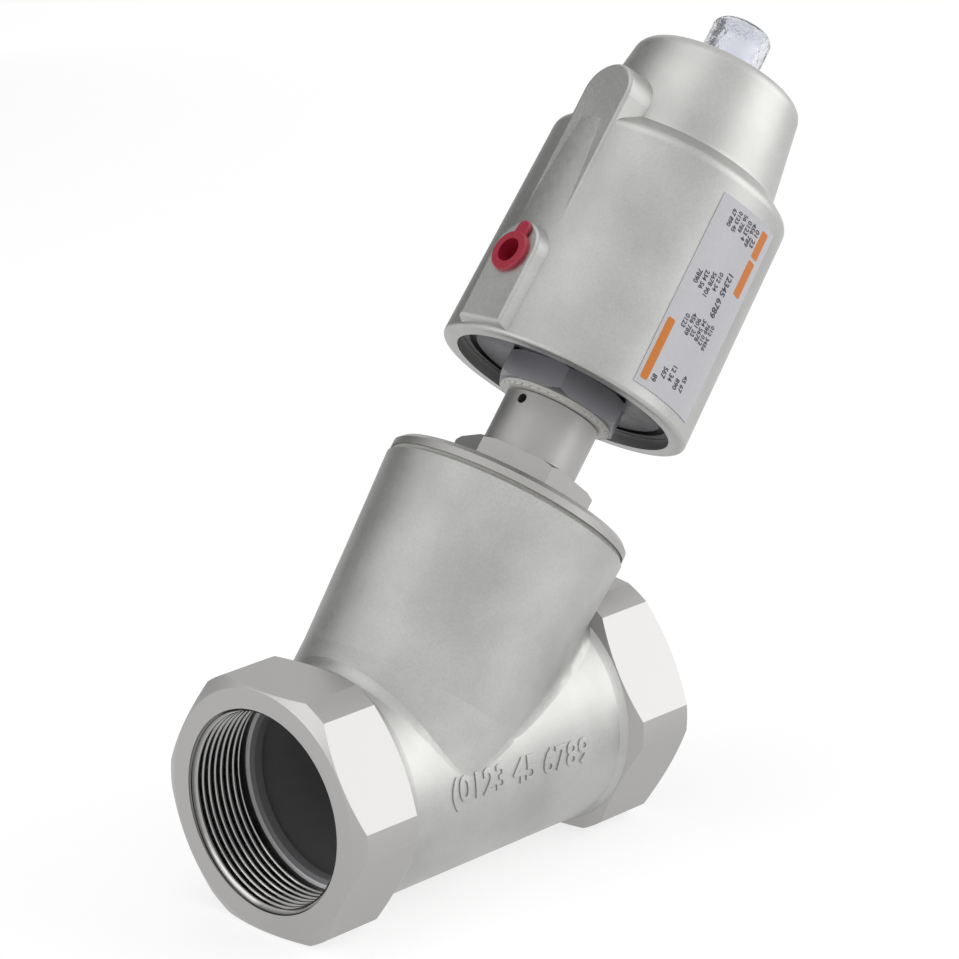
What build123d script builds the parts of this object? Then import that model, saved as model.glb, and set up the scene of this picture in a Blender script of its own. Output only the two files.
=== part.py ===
from build123d import *
from math import cos, pi, sin, tan, radians
import os

os.makedirs("parts", exist_ok=True)

# ---------------------------------------------------------------- driving sizes, mm
# Frame: origin at the centre of the inlet socket's mouth, +X along the pipe, +Z up.
# The stem axis lies in the XZ plane and leans towards the outlet.
FACE_TO_FACE = 136.0
HEX_AF = 72.0
HEX_LENGTH = 23.6
HEX_CORNER_OFF = 2.1          # how much of each sharp corner is turned away
HEX_BEVEL_FALL = 3.8          # the turned bevel at each end of the hexagon, across and along
HEX_BEVEL_RUN = 2.2
HEX_BLEND = 5.5               # length of the hollow blend from hexagon to pipe
HEX_BLEND_DROP = 0.3          # it starts this far below the flats and ends this far inside the pipe
SOCKET_R = 29.8               # wall of the threaded socket, G 2
SOCKET_DEPTH = 22.0
PIPE_R = 34.8
PIPE_WALL = 5.0
STOP_LIP = 2.4                # ring that ends the thread
STEM_ANGLE = 50.0             # stem axis above the pipe
STEM_FOOT_X = 43.8            # where the stem axis crosses the pipe axis

BARREL_TOP = 84.0             # stations along the stem axis, from the pipe axis
BARREL_TOP_R = 37.6
BARREL_FOOT_R = 34.2
BARREL_STRAIGHT = 24.0        # the barrel flares above this station
BARREL_TOP_WALL = 6.6         # from the bonnet thread to the outside
THREAD_STEP = 2.2             # from the bonnet thread to the bore below it
BONNET_THREAD_LENGTH = 19.0
SEAT_FACE = 22.0
SEAT_NOSE = 4.0
SEAT_NOSE_WIDTH = 2.2
SEAL_OVERHANG = 1.4           # the seal is this much wider than the seat, and the disc than the seal
DISC_WAY = 1.3                # gap round the disc in the barrel's bore
WEB = 5.0
JUNCTION_ROUND = 5.0

GASKET = 1.0
FLANGE_HEIGHT = 3.6
FLANGE_CHAMFER = 1.4
BONNET_HEX_AF = 38.0
BONNET_HEX_HEIGHT = 9.0
NECK_R = 14.6
NECK_LENGTH = 18.4
SPIGOT_R = 12.4
SPIGOT_LENGTH = 16.6
PACKING_BORE_R = 9.5
TELLTALE_R = 1.5
TELLTALE_BELOW_TOP = 3.1

STEM_R = 6.0
STEM_END_R = 5.0
STROKE = 18.0

SLIP_RING_R = 17.3
SLIP_RING = 1.5
NUT_AF = 36.0
NUT_TURN = 45.0               # where the nut's corners stand
NUT_HEIGHT = 8.3
NUT_SPIGOT_R = 16.0
PLATE_THICKNESS = 8.0

HOUSING_FOOT_R = 38.9
HOUSING_WALL = 6.9            # from the piston bore to the outside of the rim
HOUSING_DRAFT = 1.5           # how much smaller the housing is at its shoulder
RIM_BELOW_NUT = 4.6           # the nut stands this far out of the rim
MAIN_LENGTH = 70.6
SHOULDER_RISE = 7.6
SHOULDER_STEP = 7.0           # from the main cylinder in to the dome's foot
DOME_DRAFT = 4.4              # how much smaller the dome is at its top
DOME_HEIGHT = 29.0
DOME_ROUND = 5.0
DOME_WALL = 4.4
HEAD_TURN = -7.4              # the head is shown turned a little on the neck

BOSS_STAND = 2.1              # the air port boss stands this far out of the rim's radius
BOSS_HALF = 8.6
BOSS_ABOVE_PORT = 1.4         # its round top is struck from a little above the port
PAD_ROUND = 1.2               # edge round of the boss and the rib
PORT_R = 4.86                 # G 1/8
PORT_DEPTH = 6.5
PORT_ABOVE_RIM = 23.8
RIB_INSET = 0.2               # the rib's face lies this far inside the shoulder's radius
RIB_HALF = 9.2
RIB_TOP_ABOVE_RIM = 89.0

PISTON_THICK = 12.0
PISTON_ABOVE_PLATE = 18.0

CAP_R = 9.3
CAP_HEIGHT = 16.8
CAP_WALL = 1.5
CAP_LEDGE = 1.4               # the cap's rim stands this far out of its thread

RUNNING = 0.05                # radial clearance of a shaft in its hole
FIXED = 0.04                  # radial clearance of a seated piece
SEATED = 0.02                 # gap between faces that rest on each other
RING_GAP = 0.3                # rings stand clear of what slides past them
RING_SIDES = 8                # sides of a rubber ring's or a spring wire's section

# ---------------------------------------------------------------- places that follow
STEM_FRAME = Plane(
    origin=(STEM_FOOT_X, 0, 0),
    x_dir=(sin(radians(STEM_ANGLE)), 0, -cos(radians(STEM_ANGLE))),
    z_dir=(cos(radians(STEM_ANGLE)), 0, sin(radians(STEM_ANGLE))),
)
HEAD_PLACE = STEM_FRAME.location * Rot(0, 0, HEAD_TURN)
CHAMBER_R = PIPE_R - PIPE_WALL
BONNET_THREAD_R = BARREL_TOP_R - BARREL_TOP_WALL
BARREL_BORE_R = BONNET_THREAD_R - THREAD_STEP
SEAT_R = BARREL_BORE_R - DISC_WAY - 2 * SEAL_OVERHANG - SEAT_NOSE_WIDTH
CYLINDER_R = HOUSING_FOOT_R - HOUSING_WALL
HOUSING_SHOULDER_R = HOUSING_FOOT_R - HOUSING_DRAFT
DOME_FOOT_R = HOUSING_SHOULDER_R - SHOULDER_STEP
DOME_TOP_R = DOME_FOOT_R - DOME_DRAFT
BOSS_FACE = HOUSING_FOOT_R + BOSS_STAND
RIB_FACE = HOUSING_SHOULDER_R - RIB_INSET
THREAD_FOOT = BARREL_TOP - BONNET_THREAD_LENGTH
FLANGE_FOOT = BARREL_TOP + GASKET
BONNET_HEX_FOOT = FLANGE_FOOT + FLANGE_HEIGHT
NECK_FOOT = BONNET_HEX_FOOT + BONNET_HEX_HEIGHT
NECK_TOP = NECK_FOOT + NECK_LENGTH
SPIGOT_TOP = NECK_TOP + SPIGOT_LENGTH
BONNET_FOOT = THREAD_FOOT - 3.0
NUT_FOOT = NECK_TOP + SLIP_RING + SEATED
RIM = NUT_FOOT + RIM_BELOW_NUT
PLATE_FOOT = NUT_FOOT + NUT_HEIGHT
PLATE_TOP = PLATE_FOOT + PLATE_THICKNESS
MAIN_TOP = RIM + MAIN_LENGTH
DOME_FOOT = MAIN_TOP + SHOULDER_RISE
DOME_TOP = DOME_FOOT + DOME_HEIGHT
CEILING = DOME_TOP - DOME_WALL
PISTON_FOOT = PLATE_TOP + PISTON_ABOVE_PLATE
PISTON_TOP = PISTON_FOOT + PISTON_THICK
PLATE_R = CYLINDER_R + 2.0
SPIGOT_BORE_R = SPIGOT_R + RUNNING


def turned(*outline):
    """Solid of revolution about the local Z axis from (radius, station) corners."""
    with BuildSketch(Plane.XZ) as sketch:
        with BuildLine():
            Polyline(*outline, close=True)
        make_face()
    return revolve(sketch.sketch, axis=Axis.Z)


def ring(inner, outer, foot, top):
    """Plain ring between two stations."""
    return turned((inner, foot), (outer, foot), (outer, top), (inner, top))


def rod(radius, foot, top):
    """Plain round bar between two stations."""
    return Pos(0, 0, foot) * Cylinder(radius, top - foot, align=(Align.CENTER, Align.CENTER, Align.MIN))


def hexagon(across_flats, foot, top, corner_chamfer=1.0):
    """Hexagon prism with the corners turned at both ends."""
    prism = extrude(Pos(0, 0, foot) * RegularPolygon(across_flats / 2, 6, major_radius=False), top - foot)
    corner = across_flats / 2 / cos(pi / 6)
    low = corner - corner_chamfer * 1.7
    envelope = turned(
        (0, foot), (low, foot), (corner + 0.05, foot + corner_chamfer),
        (corner + 0.05, top - corner_chamfer), (low, top), (0, top),
    )
    return prism & envelope


def o_ring(centre_radius, section_radius, station):
    """Rubber ring with an eight-sided section, which keeps its mesh light."""
    section = Pos(centre_radius, station) * RegularPolygon(section_radius, RING_SIDES)
    return revolve(Plane.XZ * section, axis=Axis.Z)


def along_pipe(radius, start, end):
    """Round bar along the pipe axis."""
    return Pos(start, 0, 0) * Rot(0, 90, 0) * Cylinder(
        radius, end - start, align=(Align.CENTER, Align.CENTER, Align.MIN))


# ---------------------------------------------------------------- valve body
def hex_end(mouth, way):
    """One hexagon end: flats at top and bottom, corners turned off, turned bevels, hollow blend to the pipe."""
    back = mouth + way * HEX_LENGTH
    flats = RegularPolygon(HEX_AF / 2, 6, major_radius=False)
    prism = extrude(Plane.YZ.offset(min(mouth, back)) * flats, HEX_LENGTH)
    corner = HEX_AF / 2 / cos(pi / 6) - HEX_CORNER_OFF
    low = corner - HEX_BEVEL_FALL
    run = way * HEX_BEVEL_RUN
    with BuildSketch(Plane.XZ) as sketch:
        with BuildLine():
            Polyline((mouth, 0), (mouth, low), (mouth + run, corner), (back - run, corner), (back, low), (back, 0),
                     close=True)
        make_face()
    turned_prism = prism & revolve(sketch.sketch, axis=Axis.X)
    top = HEX_AF / 2 - HEX_BLEND_DROP
    under = PIPE_R - HEX_BLEND_DROP
    middle = (back + way * HEX_BLEND * 0.3, under + (top - under) * 0.5)
    with BuildSketch(Plane.XZ) as hollow:
        with BuildLine():
            Polyline((back + way * HEX_BLEND, under), (back + way * HEX_BLEND, PIPE_R - PIPE_WALL / 2),
                     (back - way * HEX_BLEND, PIPE_R - PIPE_WALL / 2), (back - way * HEX_BLEND, top), (back, top))
            ThreePointArc((back, top), middle, (back + way * HEX_BLEND, under))
        make_face()
    return turned_prism + revolve(hollow.sketch, axis=Axis.X)


def body_outside():
    """Pipe and slanted barrel with a rounded junction, then the two hexagon ends."""
    pipe = along_pipe(PIPE_R, HEX_LENGTH / 2, FACE_TO_FACE - HEX_LENGTH / 2)
    top_bevel = 0.6
    barrel = STEM_FRAME * turned(
        (0, 0), (BARREL_FOOT_R, 0), (BARREL_FOOT_R, BARREL_STRAIGHT), (BARREL_TOP_R, BARREL_TOP - top_bevel),
        (BARREL_TOP_R - top_bevel, BARREL_TOP), (0, BARREL_TOP),
    )
    joined = pipe + barrel
    seam = [e for e in joined.edges() if e.geom_type not in (GeomType.CIRCLE, GeomType.LINE)]
    return fillet(seam, JUNCTION_ROUND)


def body_cavities():
    """Sockets, inlet chamber, seat bore, barrel bore and outlet chamber."""
    inlet_end = STEM_FOOT_X + (SEAT_R + SEAT_NOSE_WIDTH + WEB) / sin(radians(STEM_ANGLE)) - WEB
    plate_foot = SEAT_FACE - SEAT_NOSE - WEB
    cuts = []
    for mouth, way in ((0.0, 1), (FACE_TO_FACE, -1)):
        depth = mouth + way * SOCKET_DEPTH
        with BuildSketch(Plane.XZ) as sketch:
            with BuildLine():
                Polyline((mouth - way, 0), (mouth - way, SOCKET_R), (depth, SOCKET_R),
                         (depth + way * 1.2, SOCKET_R - STOP_LIP), (depth + way * 4.2, SOCKET_R - STOP_LIP),
                         (depth + way * 4.2, 0), close=True)
            make_face()
        cuts.append(revolve(sketch.sketch, axis=Axis.X))
    below_seat = STEM_FRAME * Pos(0, 0, plate_foot) * Box(
        400, 400, 200, align=(Align.CENTER, Align.CENTER, Align.MAX))
    inlet = along_pipe(CHAMBER_R, SOCKET_DEPTH + 4.0, inlet_end) & below_seat
    outlet = along_pipe(CHAMBER_R, inlet_end + WEB, FACE_TO_FACE - SOCKET_DEPTH - 4.0)
    bore_foot = SEAT_FACE - SEAT_NOSE
    barrel = STEM_FRAME * turned(
        (0, bore_foot), (BARREL_BORE_R, bore_foot), (BARREL_BORE_R, THREAD_FOOT - 1.5),
        (BONNET_THREAD_R, THREAD_FOOT), (BONNET_THREAD_R, BARREL_TOP + 1), (0, BARREL_TOP + 1),
    )
    seat = STEM_FRAME * rod(SEAT_R, plate_foot - 6.0, SEAT_FACE)
    return cuts, inlet, outlet, barrel, seat


def valve_body():
    outside = body_outside()
    cuts, inlet, outlet, barrel, seat = body_cavities()
    shell = outside + hex_end(0, 1) + hex_end(FACE_TO_FACE, -1)
    shell = shell - inlet - outlet - barrel
    nose = STEM_FRAME * turned(
        (SEAT_R - 1, SEAT_FACE - SEAT_NOSE - 1), (SEAT_R + SEAT_NOSE_WIDTH + 1.6, SEAT_FACE - SEAT_NOSE - 1),
        (SEAT_R + SEAT_NOSE_WIDTH + 1.6, SEAT_FACE - SEAT_NOSE), (SEAT_R + SEAT_NOSE_WIDTH, SEAT_FACE),
        (SEAT_R - 1, SEAT_FACE),
    )
    shell = shell + nose
    for cut in cuts:
        shell = shell - cut
    return shell - seat


# ---------------------------------------------------------------- bonnet and packing
def bonnet():
    """Screwed bonnet: spigot, flange, hexagon, neck tube with telltale hole, packing bore."""
    corner = BONNET_HEX_AF / 2 / cos(pi / 6)
    spigot_r = BONNET_THREAD_R - FIXED
    seam = 0.35
    outside = turned(
        (0, BONNET_FOOT), (BARREL_BORE_R - 0.8, BONNET_FOOT), (BARREL_BORE_R - 0.8, THREAD_FOOT + 1),
        (spigot_r, THREAD_FOOT + 4.5), (spigot_r, FLANGE_FOOT), (BARREL_TOP_R - 0.4, FLANGE_FOOT),
        (BARREL_TOP_R - 0.4, BONNET_HEX_FOOT - FLANGE_CHAMFER),
        (BARREL_TOP_R - 0.4 - FLANGE_CHAMFER, BONNET_HEX_FOOT), (NECK_R - seam, BONNET_HEX_FOOT),
        (NECK_R - seam, NECK_FOOT + 0.5), (NECK_R, NECK_FOOT + 0.5 + seam), (NECK_R, NECK_TOP - 0.5),
        (NECK_R - 0.5, NECK_TOP), (SPIGOT_R, NECK_TOP), (SPIGOT_R, SPIGOT_TOP - 0.6),
        (SPIGOT_R - 0.6, SPIGOT_TOP), (0, SPIGOT_TOP),
    )
    outside = outside + hexagon(BONNET_HEX_AF, BONNET_HEX_FOOT - 1, NECK_FOOT, 0.9)
    shoulder = GUIDE_TOP + 2.0
    inside = turned(
        (0, BONNET_FOOT - 1), (GUIDE_R, BONNET_FOOT - 1), (GUIDE_R, GUIDE_TOP), (STEM_R + 0.6, GUIDE_TOP),
        (STEM_R + 0.6, shoulder), (PACKING_BORE_R, shoulder), (PACKING_BORE_R, SPIGOT_TOP + 1),
        (0, SPIGOT_TOP + 1),
    )
    relief = turned(
        (GUIDE_R + 4.0, BONNET_FOOT - 1), (spigot_r - 6.0, BONNET_FOOT - 1),
        (spigot_r - 7.0, THREAD_FOOT + 8.0), (GUIDE_R + 5.0, THREAD_FOOT + 8.0),
    )
    groove = ring(SPIGOT_R - 1.2, SPIGOT_R + 1, SNAP_FOOT - SEATED, SNAP_TOP + SEATED)
    telltale = Pos(-NECK_R, 0, NECK_TOP - TELLTALE_BELOW_TOP) * Rot(0, 90, 0) * Cylinder(
        TELLTALE_R, 2 * (NECK_R - PACKING_BORE_R) + 1)
    return outside - inside - relief - groove - telltale


GUIDE_R = 8.5
GUIDE_LENGTH = 10.0
GUIDE_RIM = 2.0
GUIDE_TOP = BONNET_FOOT + GUIDE_LENGTH
PACKING_FOOT = GUIDE_TOP + 2.0
SPRING_DISCS = 3
DISC_RISE = 1.6
DISC_STEEL = 0.7
SUPPORT = 3.0
CHEVRONS = 5
CHEVRON_PITCH = 2.1
GLAND_HEIGHT = 7.0
BUSH_HEIGHT = 11.0
STACK_TOP = PACKING_FOOT + SPRING_DISCS * DISC_RISE + SEATED
SUPPORT_TOP = STACK_TOP + SUPPORT
RINGS_TOP = SUPPORT_TOP + CHEVRONS * CHEVRON_PITCH
GLAND_FOOT = RINGS_TOP + SUPPORT + 2 * SEATED
BUSH_TOP = SPIGOT_TOP - 0.5
SNAP_FOOT = PLATE_TOP - 5.4 + 0.3
SNAP_TOP = SNAP_FOOT + 1.2
SEALED_R = PACKING_BORE_R - FIXED
ROD_HOLE_R = STEM_R + RUNNING


def bonnet_gasket():
    return ring(BONNET_THREAD_R + 0.2, BARREL_TOP_R - 1.0, BARREL_TOP + SEATED, FLANGE_FOOT - SEATED)


def stem_guide():
    """Lower guide bush with a small flange under the bonnet."""
    return turned(
        (ROD_HOLE_R, BONNET_FOOT - 1.5), (GUIDE_R + GUIDE_RIM, BONNET_FOOT - 1.5),
        (GUIDE_R + GUIDE_RIM, BONNET_FOOT - SEATED),
        (GUIDE_R - FIXED, BONNET_FOOT - SEATED), (GUIDE_R - FIXED, GUIDE_TOP - 0.3), (ROD_HOLE_R, GUIDE_TOP - 0.3),
    )


def disc_springs():
    """Stack of coned washers, alternately facing up and down."""
    washers = []
    inner, outer = STEM_R + RING_GAP, SEALED_R
    rise = DISC_RISE - DISC_STEEL - SEATED
    for i in range(SPRING_DISCS):
        foot = PACKING_FOOT + SEATED + i * DISC_RISE
        low, high = (foot, foot + rise) if i % 2 else (foot + rise, foot)
        washers.append(turned((inner, low), (outer, high), (outer, high + DISC_STEEL), (inner, low + DISC_STEEL)))
    return Compound(children=washers)


def chevron(foot, height):
    """V-shaped packing section."""
    middle = (ROD_HOLE_R + SEALED_R) / 2
    dip = 1.1
    return turned(
        (ROD_HOLE_R, foot), (middle, foot + dip), (SEALED_R, foot), (SEALED_R, foot + height),
        (middle, foot + height + dip), (ROD_HOLE_R, foot + height),
    )


def packing_rings():
    thickness = CHEVRON_PITCH - SEATED
    return Compound(children=[chevron(SUPPORT_TOP + SEATED + i * CHEVRON_PITCH, thickness) for i in range(CHEVRONS)])


def packing_support():
    """Male ring under the chevrons and female ring above them."""
    middle = (ROD_HOLE_R + SEALED_R) / 2
    dip = 1.1
    lower = turned(
        (ROD_HOLE_R, STACK_TOP + SEATED), (SEALED_R, STACK_TOP + SEATED), (SEALED_R, SUPPORT_TOP - SEATED),
        (middle, SUPPORT_TOP + dip - SEATED), (ROD_HOLE_R, SUPPORT_TOP - SEATED),
    )
    foot = RINGS_TOP + SEATED
    upper = turned(
        (ROD_HOLE_R, foot), (middle, foot + dip), (SEALED_R, foot), (SEALED_R, foot + SUPPORT),
        (ROD_HOLE_R, foot + SUPPORT),
    )
    return Compound(children=[lower, upper])


def gland_nut():
    """Screwed ring over the packing, with two key slots."""
    top = GLAND_FOOT + GLAND_HEIGHT
    slot = Pos(0, 0, top - 1.5) * Box(2 * PACKING_BORE_R + 2, 2.0, 3.0, align=(Align.CENTER, Align.CENTER, Align.MIN))
    return ring(ROD_HOLE_R, SEALED_R, GLAND_FOOT, top) - slot


def upper_bush():
    """Guide at the top of the neck, with a groove for the air seal."""
    foot = BUSH_TOP - BUSH_HEIGHT
    groove_foot = foot + 4.0
    return turned(
        (ROD_HOLE_R, foot), (SEALED_R, foot), (SEALED_R, BUSH_TOP), (ROD_HOLE_R, BUSH_TOP),
        (ROD_HOLE_R, groove_foot + 2.5), (ROD_HOLE_R + 2.15, groove_foot + 2.5),
        (ROD_HOLE_R + 2.15, groove_foot), (ROD_HOLE_R, groove_foot),
    )


def air_seal_ring():
    return o_ring(ROD_HOLE_R + 1.03, 1.0, BUSH_TOP - BUSH_HEIGHT + 5.25)


def slip_ring():
    """Pale ring with a notched lower edge, resting on the neck's shoulder."""
    plain = turned(
        (SPIGOT_BORE_R, NECK_TOP + SEATED), (SLIP_RING_R - 0.3, NECK_TOP + SEATED), (SLIP_RING_R, NECK_TOP + 0.32),
        (SLIP_RING_R, NECK_TOP + SLIP_RING), (SPIGOT_BORE_R, NECK_TOP + SLIP_RING),
    )
    notch = Pos(SLIP_RING_R, 0, NECK_TOP) * Box(1.4, 1.2, 1.2)
    return plain - PolarLocations(0, SLIP_NOTCHES) * notch


SLIP_NOTCHES = 36


def neck_snap_ring():
    """Open spring ring in the spigot's groove."""
    closed = ring(SPIGOT_R - 1.2 + SEATED, SPIGOT_R + 2.2, SNAP_FOOT, SNAP_TOP)
    return closed - Pos(SPIGOT_R, 0, SNAP_FOOT + 0.6) * Box(8, 5, 4)


# ---------------------------------------------------------------- actuator head
def actuator_nut():
    """Hexagon nut with a spigot that holds the base plate; it turns on the neck."""
    lock = Rot(0, 0, NUT_TURN) * hexagon(NUT_AF, NUT_FOOT, PLATE_FOOT - SEATED, 1.0)
    spigot = rod(NUT_SPIGOT_R - FIXED, PLATE_FOOT - 1, NUT_SPIGOT_TOP)
    groove_foot = NUT_FOOT + 3.5
    bore = turned(
        (0, NUT_FOOT - 1), (SPIGOT_BORE_R, NUT_FOOT - 1), (SPIGOT_BORE_R, groove_foot),
        (SPIGOT_BORE_R + 2.15, groove_foot), (SPIGOT_BORE_R + 2.15, groove_foot + 2.5),
        (SPIGOT_BORE_R, groove_foot + 2.5), (SPIGOT_BORE_R, NUT_SPIGOT_TOP + 1), (0, NUT_SPIGOT_TOP + 1),
    )
    return lock + spigot - bore


NUT_SPIGOT_TOP = PLATE_TOP - 5.4
PLATE_RIM = 4.5


def neck_seal_ring():
    return o_ring(SPIGOT_BORE_R + 1.03, 1.0, NUT_FOOT + 3.5 + 1.25)


def base_plate():
    """Cover plate: stepped underside, centre hole on the nut's spigot, ring groove in its edge."""
    edge = PLATE_R - FIXED
    step = edge - PLATE_RIM
    groove_foot = PLATE_TOP - 3.6
    return turned(
        (NUT_SPIGOT_R, PLATE_FOOT), (step, PLATE_FOOT), (step, PLATE_FOOT + 1.4), (edge, PLATE_FOOT + 1.4),
        (edge, groove_foot), (edge - 2.15, groove_foot), (edge - 2.15, groove_foot + 2.4), (edge, groove_foot + 2.4),
        (edge, PLATE_TOP), (NUT_SPIGOT_R + 2.0, PLATE_TOP), (NUT_SPIGOT_R, NUT_SPIGOT_TOP + 2.4),
    )


def base_seal_ring():
    return o_ring(PLATE_R - FIXED - 1.05, 0.95, PLATE_TOP - 3.6 + 1.2)


CIRCLIP_TOP = PLATE_FOOT + 1.4 - SEATED
CIRCLIP = 1.5
CIRCLIP_DEPTH = 1.8


def base_circlip():
    """Inside spring ring with two eyes, in the groove below the plate."""
    outer = PLATE_R + CIRCLIP_DEPTH - FIXED
    foot = CIRCLIP_TOP - CIRCLIP
    band = ring(PLATE_R - 2.2, outer, foot, CIRCLIP_TOP)
    gap = Pos(PLATE_R, 0, foot - 0.5) * Box(10, 9, CIRCLIP + 1, align=(Align.CENTER, Align.CENTER, Align.MIN))
    eye = rod(2.4, foot, CIRCLIP_TOP)
    eye_hole = rod(0.9, foot - 1, CIRCLIP_TOP + 1)
    clip = band - gap
    for side in (1, -1):
        place = Pos(PLATE_R - 2.7, side * 6.4, 0)
        clip = clip + place * eye
        clip = clip - place * eye_hole
    return Rot(0, 0, 180) * clip


def housing_outside():
    """Main cylinder with draft, rounded shoulder, tapered dome with rounded top."""
    with BuildSketch(Plane.XZ) as sketch:
        with BuildLine():
            Polyline((0, RIM), (HOUSING_FOOT_R, RIM), (HOUSING_SHOULDER_R, MAIN_TOP + 1.5),
                     (DOME_FOOT_R + 0.4, DOME_FOOT - 1.2), (DOME_FOOT_R, DOME_FOOT),
                     (DOME_TOP_R, DOME_TOP), (0, DOME_TOP), close=True)
        make_face()
        corners = sketch.vertices()
        fillet([v for v in corners if abs(v.X - HOUSING_SHOULDER_R) < 0.01], SHOULDER_ROUND)
        fillet([v for v in sketch.vertices() if abs(v.X - DOME_TOP_R) < 0.01], DOME_ROUND)
        fillet([v for v in sketch.vertices() if abs(v.X - HOUSING_FOOT_R) < 0.01], 1.4)
    return revolve(sketch.sketch, axis=Axis.Z)


SHOULDER_ROUND = 4.0


def pad(face, back, half, foot, centre, draft):
    """Upright pad with a flat face, drafted sides and a round top, on the side towards local -X."""
    with BuildSketch(Plane(origin=(-face, 0, 0), x_dir=(0, 1, 0), z_dir=(1, 0, 0))) as sketch:
        with Locations((0, (foot + centre) / 2)):
            Rectangle(2 * half, centre - foot)
        with Locations((0, centre)):
            Circle(half)
    block = extrude(sketch.sketch, face - back, taper=-draft)
    return fillet(block.faces().sort_by(Axis.X)[0].edges(), PAD_ROUND)


def actuator_housing():
    """Cast cylinder: dome, side rib, air port boss, piston bore, ring groove, cap thread."""
    outside = housing_outside()
    rim_gap = 2.4
    rib = pad(RIB_FACE, DOME_TOP_R - 2.0, RIB_HALF, RIM + 2 * rim_gap, RIM + RIB_TOP_ABOVE_RIM - RIB_HALF, 6.0)
    boss_centre = RIM + PORT_ABOVE_RIM + BOSS_ABOVE_PORT
    boss = pad(BOSS_FACE, CYLINDER_R + 3.0, BOSS_HALF, RIM + rim_gap, boss_centre, 18.0)
    outside = outside + rib + boss
    inside = turned(
        (0, RIM - 1), (PLATE_R, RIM - 1), (PLATE_R, PLATE_TOP + SEATED), (CYLINDER_R, PLATE_TOP + 1.5),
        (CYLINDER_R, MAIN_TOP - 1.0), (DOME_FOOT_R - DOME_WALL, DOME_FOOT - 3.0),
        (DOME_TOP_R - DOME_WALL, CEILING), (0, CEILING),
    )
    groove = ring(PLATE_R - 1, PLATE_R + CIRCLIP_DEPTH, CIRCLIP_TOP - CIRCLIP - 0.1, CIRCLIP_TOP + SEATED)
    port = Pos(-BOSS_FACE - 1, 0, RIM + PORT_ABOVE_RIM) * Rot(0, 90, 0) * Cylinder(
        PORT_R, PORT_DEPTH + 1, align=(Align.CENTER, Align.CENTER, Align.MIN))
    air_way = Pos(-BOSS_FACE, 0, RIM + PORT_ABOVE_RIM) * Rot(0, 90, 0) * Cylinder(
        AIR_WAY_R, BOSS_FACE - CYLINDER_R + 4, align=(Align.CENTER, Align.CENTER, Align.MIN))
    cap_hole = rod(CAP_THREAD_R, CEILING - 1, DOME_TOP + 1)
    vent = Rot(0, 0, 150) * Pos(DOME_FOOT_R, 0, DOME_FOOT + 8) * Rot(0, 90, 0) * Cylinder(1.5, 16)
    return outside - inside - groove - port - air_way - cap_hole - vent


AIR_WAY_R = 3.0
CAP_THREAD_R = CAP_R - CAP_LEDGE
SEAT_RING = 1.6


def spring_seat():
    """Ring under the dome that centres the spring."""
    outer = DOME_TOP_R - DOME_WALL - 0.15
    foot = CEILING - SEAT_RING
    return turned(
        (CAP_THREAD_R + 0.5, foot - 2.0), (SPRING_R - SPRING_WIRE - SPRING_SIDE_GAP, foot - 2.0),
        (SPRING_R - SPRING_WIRE - SPRING_SIDE_GAP, foot), (outer, foot), (outer, CEILING - SEATED),
        (CAP_THREAD_R + 0.5, CEILING - SEATED),
    )


SPRING_WIRE = 2.3             # half the wire's thickness
SPRING_WAY = 1.3              # gap between the spring and the dome's wall at its top
SPRING_R = DOME_TOP_R - DOME_WALL - SPRING_WAY - SPRING_WIRE
SPRING_TURNS = 5.5
SPRING_SIDE_GAP = 0.5
SPRING_POCKET = PISTON_FOOT + 6.0


def return_spring():
    """Compression spring between the piston's pocket and the ring under the dome."""
    foot = SPRING_POCKET + FIXED
    height = CEILING - SEAT_RING - FIXED - foot - 2 * SPRING_WIRE
    path = Helix(pitch=height / SPRING_TURNS, height=height, radius=SPRING_R)
    start = Plane(origin=path @ 0, z_dir=path % 0)
    wire = start * RegularPolygon(SPRING_WIRE, RING_SIDES)
    return Pos(0, 0, foot + SPRING_WIRE) * sweep(wire, path=path, is_frenet=True)


CAP_RING = 0.6
CAP_LIFT = 2 * CAP_RING + 2 * SEATED + FIXED


def cap_seal():
    return o_ring(CAP_THREAD_R + 0.85, CAP_RING, DOME_TOP + CAP_RING + SEATED)


def indicator_cap():
    """Clear domed cap with a screwed spigot."""
    top = DOME_TOP + CAP_HEIGHT
    foot = DOME_TOP + CAP_LIFT
    inner = CAP_THREAD_R - CAP_WALL
    with BuildSketch(Plane.XZ) as sketch:
        with BuildLine():
            Polyline((inner, CEILING + 0.3), (CAP_THREAD_R - FIXED, CEILING + 0.3), (CAP_THREAD_R - FIXED, foot),
                     (CAP_R, foot), (CAP_R, top), (0, top), (0, top - CAP_WALL), (inner, top - CAP_WALL),
                     close=True)
        make_face()
        fillet([v for v in sketch.vertices() if abs(v.X - CAP_R) < 0.01 and v.Y > top - 0.1], 3.5)
    return revolve(sketch.sketch, axis=Axis.Z)


LABEL_FOOT = 4.4
LABEL_HEIGHT = 61.4
LABEL_START = -114.0
LABEL_SWEEP = 40.0
LABEL_THICK = 0.25


def data_label():
    """Thin curved label on the drafted cylinder."""
    def wall(station):
        share = (station - RIM) / (MAIN_TOP + 1.5 - RIM)
        return HOUSING_FOOT_R + (HOUSING_SHOULDER_R - HOUSING_FOOT_R) * share
    low, high = RIM + LABEL_FOOT, RIM + LABEL_FOOT + LABEL_HEIGHT
    with BuildSketch(Plane.XZ) as sketch:
        with BuildLine():
            Polyline((wall(low) + SEATED, low), (wall(low) + LABEL_THICK, low),
                     (wall(high) + LABEL_THICK, high), (wall(high) + SEATED, high), close=True)
        make_face()
    return Rot(0, 0, LABEL_START - HEAD_TURN) * revolve(sketch.sketch, axis=Axis.Z, revolution_arc=LABEL_SWEEP)


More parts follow.
